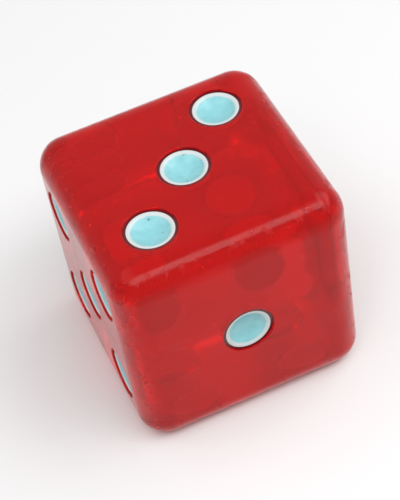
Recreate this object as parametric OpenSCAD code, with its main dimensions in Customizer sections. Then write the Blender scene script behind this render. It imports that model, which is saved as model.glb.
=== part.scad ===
/* [Body] */
// Side of the cube, measured from face to face
side = 19; // [18.5:0.5:25]
// Radius of the rounded edges and corners
edge_r = 2.35; // [1.5:0.05:2.35]

/* [Spots] */
// Diameter of each drilled pocket and of the filling in it
spot_d = 4.2; // [3:0.05:4.3]
// Distance between neighbouring rows and columns of spots
spot_pitch = 4.7; // [4.4:0.05:4.7]
// Depth of each pocket
pocket_depth = 1; // [0.9:0.05:1.3]
// How far the rim of a filling sits below the face
rim_recess = 0.15; // [0.05:0.01:0.2]
// Width of the flat rim around a filling's dished middle
rim_width = 0.4; // [0.1:0.05:0.5]
// Depth of the dish, below the rim
dish_depth = 0.5; // [0.1:0.05:0.6]

/* [Colours] */
// Red, green and blue of the transparent body
body_colour = [0.74, 0.08, 0.09];
// Opacity of the body
body_opacity = 0.6; // [0.2:0.05:1]
// Red, green and blue of the fillings
spot_colour = [0.6, 0.86, 0.9];

/* [Hidden] */
$fn = 96;
// The dish is a small cap of a large ball, so the ball takes more facets
dish_fn = 240;
half = side / 2;
// Width of the flat on each face, between the rounded edges
flat = side - 2 * edge_r;
fill_height = pocket_depth - rim_recess;
dish_r = spot_d / 2 - rim_width;
// Radius of the ball whose cap is dish_r in radius and dish_depth deep
dish_ball_r = (dish_r * dish_r + dish_depth * dish_depth) / (2 * dish_depth);
// A pocket's cutter stands out of the face by this much
cutter_over = 1;

// The face numbers run from 1 to 6. Opposite faces add up to seven, and the
// faces 1, 2 and 3 go anticlockwise around the corner that they share.
FACE_WORD = ["one", "two", "three", "four", "five", "six"];

// Turn that takes a layout drawn on the top face to each face:
// 1 front, 2 right, 3 top, 4 bottom, 5 left, 6 back
FACE_TURN = [
    [90, 0, 0],
    [0, 90, 0],
    [0, 0, 0],
    [180, 0, 0],
    [0, -90, 0],
    [-90, 0, 0]
];

// Places of each face's spots, in steps of spot_pitch from its centre
FACE_SPOTS = [
    [[0, 0]],
    [[-1, 1], [1, -1]],
    [[-1, -1], [0, 0], [1, 1]],
    [[-1, -1], [-1, 1], [1, -1], [1, 1]],
    [[-1, -1], [-1, 1], [0, 0], [1, -1], [1, 1]],
    [[-1, -1], [-1, 0], [-1, 1], [1, -1], [1, 0], [1, 1]]
];

// Name of one filling, such as three_spot_2
function spot_name(face, spot) = str(FACE_WORD[face - 1], "_spot_", spot);

// Moves children drawn around the origin, with +Z outwards, to a spot on a face
module at_spot(face, spot) {
    place = FACE_SPOTS[face - 1][spot - 1] * spot_pitch;
    translate([0, 0, half])
        rotate(FACE_TURN[face - 1])
            translate([place[0], place[1], half])
                children();
}

// A cube centred on the origin, with every edge and corner rounded
module rounded_cube() {
    cube([side, flat, flat], center = true);
    cube([flat, side, flat], center = true);
    cube([flat, flat, side], center = true);
    for (turn = [[0, 0, 0], [90, 0, 0], [0, 90, 0]])
        rotate(turn)
            for (x = [-1, 1], y = [-1, 1])
                translate([x, y, 0] * flat / 2)
                    cylinder(h = flat, r = edge_r, center = true);
    for (x = [-1, 1], y = [-1, 1], z = [-1, 1])
        translate([x, y, z] * flat / 2)
            sphere(r = edge_r);
}

// The solid cube, standing on its 4, with a pocket drilled for every spot
module body() {
    color(body_colour, body_opacity)
        difference() {
            translate([0, 0, half])
                rounded_cube();
            for (face = [1:6])
                for (spot = [1:face])
                    at_spot(face, spot)
                        translate([0, 0, -pocket_depth])
                            cylinder(h = pocket_depth + cutter_over, d = spot_d);
        }
}

// The filling of one pocket: a disc with a narrow flat rim and a dished middle
module filling(face, spot) {
    color(spot_colour)
        at_spot(face, spot)
            translate([0, 0, -pocket_depth])
                difference() {
                    cylinder(h = fill_height, d = spot_d);
                    translate([0, 0, fill_height - dish_depth + dish_ball_r])
                        sphere(r = dish_ball_r, $fn = dish_fn);
                }
}

body();
for (face = [1:6])
    for (spot = [1:face])
        filling(face, spot);
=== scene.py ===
"""The visual model of a transparent red casino die with round, dished enamel spots.

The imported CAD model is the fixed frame. Every size below is read from its boxes, or is a named
detail size that the boxes don't hold. All lengths are in metres.
"""
import math

import bmesh
import bpy
from mathutils import Matrix, Vector


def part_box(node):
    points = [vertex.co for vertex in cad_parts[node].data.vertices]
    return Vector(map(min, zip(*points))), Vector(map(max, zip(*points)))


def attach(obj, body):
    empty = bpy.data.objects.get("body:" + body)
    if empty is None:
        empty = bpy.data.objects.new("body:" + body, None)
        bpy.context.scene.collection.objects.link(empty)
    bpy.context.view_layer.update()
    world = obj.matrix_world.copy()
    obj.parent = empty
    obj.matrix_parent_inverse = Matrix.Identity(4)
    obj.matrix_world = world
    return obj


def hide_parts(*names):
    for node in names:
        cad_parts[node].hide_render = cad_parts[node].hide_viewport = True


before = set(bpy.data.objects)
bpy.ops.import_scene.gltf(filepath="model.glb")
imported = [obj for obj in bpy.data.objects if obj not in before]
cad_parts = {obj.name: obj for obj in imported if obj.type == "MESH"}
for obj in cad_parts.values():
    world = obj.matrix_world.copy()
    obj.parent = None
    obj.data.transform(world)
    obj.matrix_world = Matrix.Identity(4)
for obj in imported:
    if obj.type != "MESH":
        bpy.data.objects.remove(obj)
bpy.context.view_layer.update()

# ---- Sizes from the frame -------------------------------------------------------------------

MM = 0.001
FACE_WORDS = ("one", "two", "three", "four", "five", "six")
# The turn that takes a layout drawn on the top face to each face, as in the CAD model
FACE_TURNS = (
    Matrix.Rotation(math.radians(90), 3, "X"),
    Matrix.Rotation(math.radians(90), 3, "Y"),
    Matrix.Identity(3),
    Matrix.Rotation(math.radians(180), 3, "X"),
    Matrix.Rotation(math.radians(-90), 3, "Y"),
    Matrix.Rotation(math.radians(-90), 3, "X"),
)

body_low, body_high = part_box("body")
CENTRE = (body_low + body_high) / 2
SIDE = body_high.z - body_low.z
HALF = SIDE / 2


def middle(node):
    """The middle of a CAD node's box."""
    low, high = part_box(node)
    return (low + high) / 2


spot_low, spot_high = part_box("three_spot_2")
SPOT_R = (spot_high.x - spot_low.x) / 2
POCKET_DEPTH = body_high.z - spot_low.z
RIM_RECESS = body_high.z - spot_high.z
SPOT_PITCH = middle("three_spot_3").x - middle("three_spot_2").x

# ---- Detail sizes that the frame doesn't hold -------------------------------------------------

EDGE_R = 2.35 * MM
LIP_R = 0.08 * MM            # polished break at the mouth of each pocket
POCKET_FILLET = 0.12 * MM    # where a pocket's wall meets its bottom
RIM_WIDTH = 0.4 * MM         # the flat rim around the dish of an enamel filling
DISH_DEPTH = 0.5 * MM
SEAM_WIDTH = 0.24 * MM       # the fine groove that shrinkage leaves between enamel and wall
SEAM_DEPTH = 0.04 * MM
BOND = 0.012 * MM            # the enamel reaches this far into the wall, so no air shows behind it

EDGE_STEPS = 9               # faces across half of a rounded edge
DISH_STEPS = 12              # rings from the middle of a dish to its rim
MARGIN_STEPS = 2             # between the outer spot cells and a rounded edge
CELL_STEPS = 16              # along each side of the square cell around a spot
FIRST_CELL = EDGE_STEPS + MARGIN_STEPS   # the grid line where the first row of cells starts
FAN_RINGS = 4                # between a cell's square border and its round pocket
HIDDEN = 2.0                 # the reach that marks the enamel's side and back
MERGE = 0.5e-6               # points nearer than this are one point


# ---- Mesh building ----------------------------------------------------------------------------

class Skin:
    """A mesh in the making. Each point keeps the true normal of the surface it lies on."""

    def __init__(self):
        self.mesh = bmesh.new()
        self.normal = self.mesh.verts.layers.float_vector.new("true_normal")
        self.reach = self.mesh.verts.layers.float.new("reach")

    def point(self, place, normal, reach=0.0):
        vertex = self.mesh.verts.new(place)
        vertex[self.normal] = normal
        vertex[self.reach] = reach
        return vertex

    def face(self, *corners):
        self.mesh.faces.new(corners)

    def strip(self, outer, inner):
        """Joins two closed rings of points, the outer one first as seen from outside."""
        count = len(outer)
        for k in range(count):
            after = (k + 1) % count
            self.face(outer[k], outer[after], inner[after], inner[k])

    def cap(self, ring, centre):
        """Closes a ring with a fan of triangles around one point."""
        count = len(ring)
        for k in range(count):
            self.face(ring[k], ring[(k + 1) % count], centre)

    def to_object(self, name, material):
        bmesh.ops.remove_doubles(self.mesh, verts=self.mesh.verts, dist=MERGE)
        self.mesh.verts.index_update()
        normals = [tuple(v[self.normal]) for v in self.mesh.verts]
        for face in self.mesh.faces:
            face.smooth = True
        data = bpy.data.meshes.new(name)
        self.mesh.to_mesh(data)
        self.mesh.free()
        data.attributes.remove(data.attributes["true_normal"])
        data.normals_split_custom_set_from_vertices(normals)
        data.materials.append(material)
        obj = bpy.data.objects.new(name, data)
        bpy.context.scene.collection.objects.link(obj)
        return obj


def arc(centre, radius, start, end, steps, outward=1):
    """Points of a profile along an arc, each (r, z, normal r, normal z). Angles in degrees."""
    points = []
    for k in range(steps + 1):
        angle = math.radians(start + (end - start) * k / steps)
        across, up = math.cos(angle), math.sin(angle)
        points.append((centre[0] + radius * across, centre[1] + radius * up,
                       outward * across, outward * up))
    return points


def pocket_profile():
    """From the face, over the lip, down the wall and across the bottom, almost to the axis."""
    lip = arc((SPOT_R + LIP_R, -LIP_R), LIP_R, 90, 180, 5)
    corner_centre = (SPOT_R - POCKET_FILLET, POCKET_FILLET - POCKET_DEPTH)
    corner = arc(corner_centre, POCKET_FILLET, 0, -90, 4, -1)
    return lip + corner + [(SPOT_R / 2, -POCKET_DEPTH, 0, 1)]


def enamel_profile():
    """From the axis, up the dish, across the rim and seam, then down the side to the back's edge.

    Each point is (r, z, normal r, normal z, reach): the reach is the radius as a share of the
    pocket's on the face side, and HIDDEN on the side and back.
    """
    dish_r = SPOT_R - RIM_WIDTH
    points = []
    for k in range(1, DISH_STEPS + 1):
        share = k / DISH_STEPS
        slope = 2 * DISH_DEPTH * share / dish_r
        if k == DISH_STEPS:
            slope /= 2           # the dish and the flat rim share this ring's normals
        length = math.hypot(slope, 1)
        height = -RIM_RECESS - DISH_DEPTH * (1 - share ** 2)
        points.append((share * dish_r, height, -slope / length, 1 / length, share * dish_r / SPOT_R))
    rim_and_seam = (
        (dish_r + 0.3 * (RIM_WIDTH - SEAM_WIDTH), 0, 0),
        (SPOT_R - SEAM_WIDTH, 0, 0),
        (SPOT_R - 0.8 * SEAM_WIDTH, -0.3 * SEAM_DEPTH, 0.35),
        (SPOT_R - 0.3 * SEAM_WIDTH, -SEAM_DEPTH, 0),
    )
    for radius, height, across in rim_and_seam:
        along = math.sqrt(1 - across ** 2)
        points.append((radius, height - RIM_RECESS, across, along, radius / SPOT_R))
    edge = SPOT_R + BOND
    side = edge + BOND / 2
    back = -POCKET_DEPTH - BOND
    points.append((edge, -RIM_RECESS - 0.8 * SEAM_DEPTH, 0, 1, 1))
    points.append((side, -RIM_RECESS - 2 * SEAM_DEPTH, 1, 0, HIDDEN))
    corner_centre = (side - POCKET_FILLET, back + POCKET_FILLET)
    corner = arc(corner_centre, POCKET_FILLET, 0, -90, 4)
    points += [(*p, HIDDEN) for p in corner]
    points.append((edge / 2, back, 0, -1, HIDDEN))
    return points


def on_edge(value):
    """Splits a grid place into the part on the flat and the part past it."""
    limit = HALF - EDGE_R
    inner = max(-limit, min(limit, value))
    return inner, value - inner


def rounded(u, v):
    """The point and normal of the rounded cube above the place (u, v) of its top face."""
    inner_u, over_u = on_edge(u)
    inner_v, over_v = on_edge(v)
    normal = Vector((over_u, over_v, EDGE_R)).normalized()
    return Vector((inner_u, inner_v, HALF - EDGE_R)) + EDGE_R * normal, normal


def grid_lines():
    """The grid lines across one face, from the middle of one rounded edge to the other."""
    limit = HALF - EDGE_R
    cells = 1.5 * SPOT_PITCH
    edge = [limit + EDGE_R * math.tan(math.radians(45 * k / EDGE_STEPS))
            for k in range(EDGE_STEPS, 0, -1)]
    margin = [limit + (cells - limit) * k / MARGIN_STEPS for k in range(MARGIN_STEPS)]
    outside = edge + margin
    inside = [cells - SPOT_PITCH * k / CELL_STEPS for k in range(3 * CELL_STEPS + 1)]
    return [-x for x in outside] + inside[::-1] + outside[::-1]


def cell_border(cell_x, cell_y):
    """The grid indices around the square cell of a spot, anticlockwise from outside."""
    left = FIRST_CELL + (cell_x + 1) * CELL_STEPS
    low = FIRST_CELL + (cell_y + 1) * CELL_STEPS
    right, high = left + CELL_STEPS, low + CELL_STEPS
    steps = range(CELL_STEPS)
    return ([(left + k, low) for k in steps] + [(right, low + k) for k in steps]
            + [(right - k, high) for k in steps] + [(left, high - k) for k in steps])


def spots_on(number):
    """Each spot node of a face, with its place on that face and its cell."""
    turn = FACE_TURNS[number - 1]
    found = []
    for k in range(1, number + 1):
        node = f"{FACE_WORDS[number - 1]}_spot_{k}"
        place = turn.transposed() @ (middle(node) - CENTRE)
        cell = (round(place.x / SPOT_PITCH), round(place.y / SPOT_PITCH))
        found.append((node, place.xy, cell))
    return found


def add_pocket(skin, turn, place, border, ring):
    """The flat between a cell's border and its pocket, then the pocket itself."""
    angles = [math.atan2(v - place.y, u - place.x) for u, v in border]
    mouth = SPOT_R + LIP_R
    up = turn @ Vector((0, 0, 1))
    for step in range(1, FAN_RINGS):
        share = step / FAN_RINGS
        inner = []
        for (u, v), angle in zip(border, angles):
            x = u + (place.x + mouth * math.cos(angle) - u) * share
            y = v + (place.y + mouth * math.sin(angle) - v) * share
            inner.append(skin.point(CENTRE + turn @ Vector((x, y, HALF)), up))
        skin.strip(ring, inner)
        ring = inner
    for radius, height, across, along in pocket_profile():
        inner = revolved(skin, turn, place, angles, radius, height, across, along)
        skin.strip(ring, inner)
        ring = inner
    bottom = CENTRE + turn @ Vector((place.x, place.y, HALF - POCKET_DEPTH))
    skin.cap(ring, skin.point(bottom, up))


def revolved(skin, turn, place, angles, radius, height, across, along, reach=0.0):
    """One ring of a profile's point turned around a spot's axis."""
    ring = []
    for angle in angles:
        c, s = math.cos(angle), math.sin(angle)
        local = Vector((place.x + radius * c, place.y + radius * s, HALF + height))
        normal = Vector((across * c, across * s, along))
        ring.append(skin.point(CENTRE + turn @ local, turn @ normal, reach))
    return ring


def add_face(skin, number):
    """One face of the die, out to the middle of its rounded edges, with its pockets."""
    turn = FACE_TURNS[number - 1]
    lines = grid_lines()
    spots = spots_on(number)
    drilled = {cell for _, _, cell in spots}
    made = {}

    def at(i, j):
        if (i, j) not in made:
            place, normal = rounded(lines[i], lines[j])
            # 0 on the flat, 1 at the middle of a rounded edge
            edge = (1 - normal.z) / (1 - math.sqrt(0.5))
            made[i, j] = skin.point(CENTRE + turn @ place, turn @ normal, edge)
        return made[i, j]

    for i in range(len(lines) - 1):
        for j in range(len(lines) - 1):
            cell = ((i - FIRST_CELL) // CELL_STEPS - 1, (j - FIRST_CELL) // CELL_STEPS - 1)
            if cell not in drilled:
                skin.face(at(i, j), at(i + 1, j), at(i + 1, j + 1), at(i, j + 1))
    for _, place, cell in spots:
        indices = cell_border(*cell)
        border = [(lines[i], lines[j]) for i, j in indices]
        add_pocket(skin, turn, place, border, [at(i, j) for i, j in indices])


def build_body(material):
    skin = Skin()
    for number in range(1, 7):
        add_face(skin, number)
    return skin.to_object("clear_body", material)


def build_enamel(node, turn, place, material):
    """One filling: a closed solid with a dished face, seated in its pocket."""
    skin = Skin()
    count = 4 * CELL_STEPS
    angles = [2 * math.pi * k / count for k in range(count)]
    profile = enamel_profile()
    ring = revolved(skin, turn, place, angles, *profile[0])
    top = Vector((place.x, place.y, HALF - RIM_RECESS - DISH_DEPTH))
    skin.cap(ring, skin.point(CENTRE + turn @ top, turn @ Vector((0, 0, 1)), 0))
    for point in profile[1:]:
        outer = revolved(skin, turn, place, angles, *point)
        skin.strip(outer, ring)
        ring = outer
    back = Vector((place.x, place.y, HALF - POCKET_DEPTH - BOND))
    centre = skin.point(CENTRE + turn @ back, turn @ Vector((0, 0, -1)), HIDDEN)
    skin.cap(ring[::-1], centre)
    return skin.to_object(f"enamel_{node}", material)


# ---- Materials --------------------------------------------------------------------------------

PLASTIC_SURFACE = (0.82, 0.02, 0.02, 1)
PLASTIC_INSIDE = (0.93, 0.02, 0.02, 1)     # the light that gets through a depth of it
PLASTIC_GLOSS = (0.26, 0.26, 0.26, 1)
ENAMEL_DARKER = (0.177, 0.43, 0.47, 1)
ENAMEL_LIGHTER = (0.215, 0.485, 0.52, 1)
ENAMEL_SPECK = (0.08, 0.2, 0.22, 1)
# painted highlight: the whiter colour of each spot's rim, where light would catch it
ENAMEL_RIM_PAINTED_HIGHLIGHT = (0.48, 0.51, 0.51, 1)
# painted shade: the dark ring where each filling meets its pocket's wall
ENAMEL_SEAM_PAINTED_SHADE = (0.09, 0.004, 0.008, 1)
ENAMEL_BACK = (0.7, 0.7, 0.7, 1)
FLOOR_COLOUR = (0.66, 0.66, 0.66, 1)
STUDIO_COLOUR = (0.55, 0.55, 0.55, 1)


def new_material(name):
    material = bpy.data.materials.new(name)
    material.use_nodes = True
    tree = material.node_tree
    return material, tree, tree.nodes["Principled BSDF"]


def add(tree, kind, **values):
    """A new node, with its properties set, and its inputs where the name is one."""
    node = tree.nodes.new(kind)
    for name, value in values.items():
        if name in node.inputs:
            node.inputs[name].default_value = value
        else:
            setattr(node, name, value)
    return node


def noise(tree, scale, detail, stretch=(1, 1, 1), turn=(0, 0, 0)):
    """Noise in the die's own space, in cells per metre, which can be stretched and turned."""
    place = add(tree, "ShaderNodeTexCoord")
    mapping = add(tree, "ShaderNodeMapping")
    mapping.inputs["Rotation"].default_value = [math.radians(angle) for angle in turn]
    mapping.inputs["Scale"].default_value = stretch
    texture = add(tree, "ShaderNodeTexNoise", Scale=scale, Detail=detail)
    tree.links.new(place.outputs["Object"], mapping.inputs["Vector"])
    tree.links.new(mapping.outputs["Vector"], texture.inputs["Vector"])
    return texture.outputs["Fac"]


def map_range(tree, value, from_low, from_high, to_low, to_high):
    node = add(tree, "ShaderNodeMapRange")
    tree.links.new(value, node.inputs["Value"])
    node.inputs["From Min"].default_value = from_low
    node.inputs["From Max"].default_value = from_high
    node.inputs["To Min"].default_value = to_low
    node.inputs["To Max"].default_value = to_high
    return node.outputs["Result"]


def math_node(tree, operation, first, second):
    node = add(tree, "ShaderNodeMath", operation=operation)
    for socket, value in zip(node.inputs, (first, second)):
        if isinstance(value, (int, float)):
            socket.default_value = value
        else:
            tree.links.new(value, socket)
    return node.outputs[0]


def bump(tree, height, distance, before=None):
    node = add(tree, "ShaderNodeBump", Strength=1.0, Distance=distance)
    tree.links.new(height, node.inputs["Height"])
    if before is not None:
        tree.links.new(before, node.inputs["Normal"])
    return node.outputs["Normal"]


def mix_colour(tree, share, first, second):
    node = add(tree, "ShaderNodeMix", data_type="RGBA")
    tree.links.new(share, node.inputs["Factor"])
    for name, value in (("A", first), ("B", second)):
        socket = next(i for i in node.inputs if i.name == name and i.type == "RGBA")
        if isinstance(value, tuple):
            socket.default_value = value
        else:
            tree.links.new(value, socket)
    return next(o for o in node.outputs if o.type == "RGBA")


def plastic_material():
    """Polished transparent red plastic, with haze, soft waves, fine scratches and nicked edges."""
    material, tree, shader = new_material("transparent_red_plastic")
    shader.inputs["Base Color"].default_value = PLASTIC_SURFACE
    shader.inputs["IOR"].default_value = 1.49
    shader.inputs["Transmission Weight"].default_value = 0.77
    shader.inputs["Specular Tint"].default_value = PLASTIC_GLOSS

    # Long fine scratches, in two directions
    first = noise(tree, 60, 2, (1, 70, 1), (20, 10, 35))
    second = noise(tree, 60, 2, (70, 1, 1), (10, 35, -20))
    marks = math_node(tree, "MAXIMUM", map_range(tree, first, 0.66, 0.74, 0, 1),
                      map_range(tree, second, 0.66, 0.74, 0, 1))
    # Small nicks, only where the rounded edges are rubbed
    edge = add(tree, "ShaderNodeAttribute", attribute_name="reach").outputs["Fac"]
    rubbed = map_range(tree, edge, 0.15, 0.7, 0, 1)
    pits = map_range(tree, noise(tree, 1300, 3), 0.57, 0.64, 0, 1)
    nicks = math_node(tree, "MULTIPLY", rubbed, pits)

    haze = map_range(tree, noise(tree, 320, 3), 0.35, 0.75, 0.11, 0.16)
    roughness = math_node(tree, "ADD", haze, math_node(tree, "MULTIPLY", marks, 0.05))
    roughness = math_node(tree, "ADD", roughness, math_node(tree, "MULTIPLY", nicks, 0.25))
    tree.links.new(roughness, shader.inputs["Roughness"])

    waves = bump(tree, noise(tree, 150, 2), 0.03 * MM)
    scratched = bump(tree, marks, 0.0006 * MM, waves)
    tree.links.new(bump(tree, nicks, 0.016 * MM, scratched), shader.inputs["Normal"])

    volume = add(tree, "ShaderNodeVolumeAbsorption", Color=PLASTIC_INSIDE, Density=90)
    tree.links.new(volume.outputs["Volume"], tree.nodes["Material Output"].inputs["Volume"])
    return material


def enamel_material():
    """Pale blue-green enamel with a whiter rim painted as a highlight, a dark ring painted as shade
    in the seam at the wall, and a white bonded back.
    """
    material, tree, shader = new_material("pale_enamel")
    reach = add(tree, "ShaderNodeAttribute", attribute_name="reach").outputs["Fac"]

    # From the middle outwards: the mottled dish with its specks, the ragged rim painted lighter as a
    # highlight, the seam painted dark as shade, the back
    mottle = map_range(tree, noise(tree, 1600, 3), 0.3, 0.7, 0, 1)
    colour = mix_colour(tree, mottle, ENAMEL_DARKER, ENAMEL_LIGHTER)
    specks = map_range(tree, noise(tree, 1900, 1), 0.73, 0.76, 0, 1)
    colour = mix_colour(tree, specks, colour, ENAMEL_SPECK)
    wander = map_range(tree, noise(tree, 2600, 2), 0, 1, -0.03, 0.03)
    ragged = math_node(tree, "ADD", reach, wander)
    # The rim is painted whiter: a painted highlight, not the enamel's own colour
    colour = mix_colour(tree, map_range(tree, ragged, 0.7, 0.76, 0, 1), colour, ENAMEL_RIM_PAINTED_HIGHLIGHT)
    # The seam is painted dark red: painted shade in the groove at the wall
    colour = mix_colour(tree, map_range(tree, reach, 0.872, 0.89, 0, 1), colour, ENAMEL_SEAM_PAINTED_SHADE)
    colour = mix_colour(tree, map_range(tree, reach, 1.2, 1.8, 0, 1), colour, ENAMEL_BACK)
    tree.links.new(colour, shader.inputs["Base Color"])

    roughness = map_range(tree, noise(tree, 900, 2), 0.3, 0.7, 0.14, 0.28)
    tree.links.new(roughness, shader.inputs["Roughness"])
    tree.links.new(bump(tree, noise(tree, 2200, 3), 0.006 * MM), shader.inputs["Normal"])
    return material


# ---- Stage, lights and camera -------------------------------------------------------------------

FLOOR_REACH = 60 * SIDE      # from the middle of the floor to each side
FLOOR_GAP = 0.02 * MM        # keeps the floor off the die's underside
# Each soft box: name, azimuth, elevation, width and height in sides of the die, radiance
SOFTBOXES = (
    ("key", 175, 61, 20, 6, 5.5),
    ("right", 97, 50, 13, 13, 2.2),
    ("left", 275, 60, 13, 13, 1.05),
)
SOFTBOX_DISTANCE = 16 * SIDE
CAMERA_AZIMUTH = 15.3
CAMERA_DIP = 47.1            # how far down it looks
CAMERA_ROLL = -11
CAMERA_DISTANCE = 7 * SIDE
CAMERA_LENS = 120
CAMERA_SENSOR = 36


def compass(azimuth, elevation):
    """The direction at an azimuth, measured from +Y towards +X, and an elevation, in degrees."""
    a, e = math.radians(azimuth), math.radians(elevation)
    return Vector((math.sin(a) * math.cos(e), math.cos(a) * math.cos(e), math.sin(e)))


def build_floor():
    mesh = bmesh.new()
    height = body_low.z - FLOOR_GAP
    corners = [mesh.verts.new((x * FLOOR_REACH, y * FLOOR_REACH, height))
               for x, y in ((-1, -1), (1, -1), (1, 1), (-1, 1))]
    mesh.faces.new(corners)
    data = bpy.data.meshes.new("floor")
    mesh.to_mesh(data)
    mesh.free()
    floor = bpy.data.objects.new("floor", data)
    bpy.context.scene.collection.objects.link(floor)
    material, _, shader = new_material("pale_floor")
    shader.inputs["Base Color"].default_value = FLOOR_COLOUR
    shader.inputs["Roughness"].default_value = 0.9
    shader.inputs["Specular IOR Level"].default_value = 0.1
    data.materials.append(material)
    return floor


def build_softbox(name, azimuth, elevation, width, height, radiance):
    """A rectangular area light that faces the die."""
    light = bpy.data.lights.new(name, "AREA")
    light.shape = "RECTANGLE"
    light.size = width * SIDE
    light.size_y = height * SIDE
    light.energy = radiance * math.pi * (width * SIDE) * (height * SIDE)
    obj = bpy.data.objects.new(name, light)
    away = compass(azimuth, elevation)
    obj.location = CENTRE + SOFTBOX_DISTANCE * away
    obj.rotation_euler = away.to_track_quat("Z", "Y").to_euler()
    bpy.context.scene.collection.objects.link(obj)


def build_studio():
    """An even grey world around the die."""
    world = bpy.data.worlds.new("studio")
    world.use_nodes = True
    world.node_tree.nodes["Background"].inputs["Color"].default_value = STUDIO_COLOUR
    bpy.context.scene.world = world
    bpy.context.scene.view_settings.view_transform = "Standard"


def build_camera():
    data = bpy.data.cameras.new("camera")
    data.lens = CAMERA_LENS
    data.sensor_width = CAMERA_SENSOR
    data.clip_start = SIDE / 4
    camera = bpy.data.objects.new("camera", data)
    look = compass(CAMERA_AZIMUTH, -CAMERA_DIP)
    camera.location = CENTRE - CAMERA_DISTANCE * look
    aim = look.to_track_quat("-Z", "Y").to_matrix()
    roll = Matrix.Rotation(math.radians(CAMERA_ROLL), 3, "Z")
    camera.rotation_euler = (aim @ roll).to_euler()
    bpy.context.scene.collection.objects.link(camera)
    bpy.context.scene.camera = camera


# ---- The die ------------------------------------------------------------------------------------

plastic = plastic_material()
enamel = enamel_material()
body = build_body(plastic)
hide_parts("body")
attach(body, "root")

for number in range(1, 7):
    for node, place, _ in spots_on(number):
        piece = build_enamel(node, FACE_TURNS[number - 1], place, enamel)
        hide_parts(node)
        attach(piece, "root")

build_floor()
for softbox in SOFTBOXES:
    build_softbox(*softbox)
build_studio()
build_camera()
